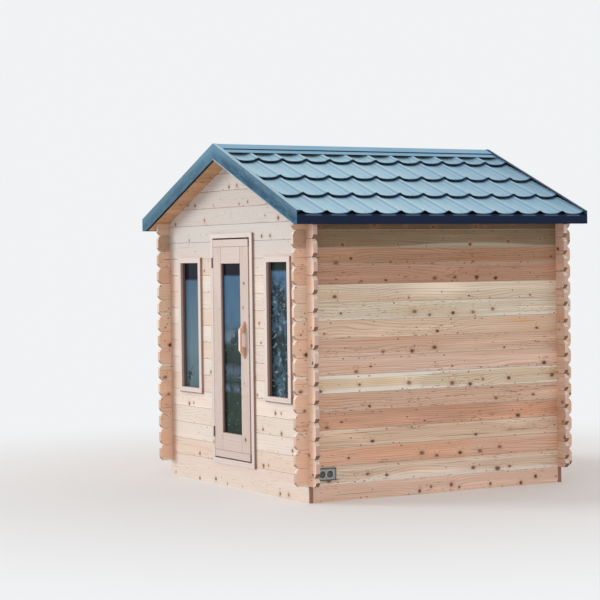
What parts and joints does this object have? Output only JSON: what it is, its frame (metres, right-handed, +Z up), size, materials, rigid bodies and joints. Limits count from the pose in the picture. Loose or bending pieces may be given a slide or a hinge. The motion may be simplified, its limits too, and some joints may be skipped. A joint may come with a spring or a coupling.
{
  "type": "sauna cabin",
  "caption": "Small square log sauna cabin with interlocking corners, a steel tile gable roof, an outward-opening glazed plank door and tall narrow fixed windows.",
  "frame": {"origin": "centre of the footprint, at the level of the base beams' underside", "axes": "+Z up, +X along the front wall towards the wall with the vent plate, -Y out of the door; the roof ridge runs along Y"},
  "size_m": [2.948, 2.938, 3.02],
  "materials": {
    "logs": "planed, bare",
    "floor": "planed, bare",
    "roof_boards": "sawn, stained",
    "joinery": "planed, bare",
    "roof_steel": "semi gloss",
    "verge_steel": "semi gloss",
    "eave_steel": "semi gloss",
    "hinge_steel": "satin",
    "glass": "tinted, clear",
    "vent_plastic": "satin",
    "vent_dark": "satin"
  },
  "bodies": {
    "cabin": {"back_gable": "logs", "back_wall": "logs", "base_beams_front_back": "logs", "base_beams_sides": "logs", "door_head": "joinery", "door_jambs": "joinery", "door_sill": "joinery", "eave_trim_left": "eave_steel", "eave_trim_right": "eave_steel", "floor_boards": "floor", "floor_joists": "floor", "front_gable": "logs", "front_wall_left": "logs", "front_wall_over_door": "logs", "front_wall_right": "logs", "front_wall_under_door": "logs", "hinge_jamb_plates": "hinge_steel", "left_wall": "logs", "ridge_cap": "roof_steel", "right_wall": "logs", "roof_battens_left": "roof_boards", "roof_battens_right": "roof_boards", "roof_boards_left": "roof_boards", "roof_boards_right": "roof_boards", "roof_sheet_left": "roof_steel", "roof_sheet_right": "roof_steel", "vent_grilles": "vent_dark", "vent_plate": "vent_plastic", "verge_trim_back_left": "verge_steel", "verge_trim_back_right": "verge_steel", "verge_trim_front_left": "verge_steel", "verge_trim_front_right": "verge_steel", "window_heads": "joinery", "window_jambs": "joinery", "window_panes": "glass", "window_sills": "joinery"},
    "door": {"door_end_rails": "joinery", "door_glass": "glass", "door_handle": "joinery", "door_rails": "joinery", "door_stiles": "joinery", "hinge_leaf_plates": "hinge_steel"}
  },
  "joints": [
    {"name": "door_hinge", "type": "hinge", "parent": "cabin", "child": "door", "pos_m": [-0.339, -1.319, 1.2215], "axis": [0, 0, -1], "range_deg": [0, 120]}
  ]
}
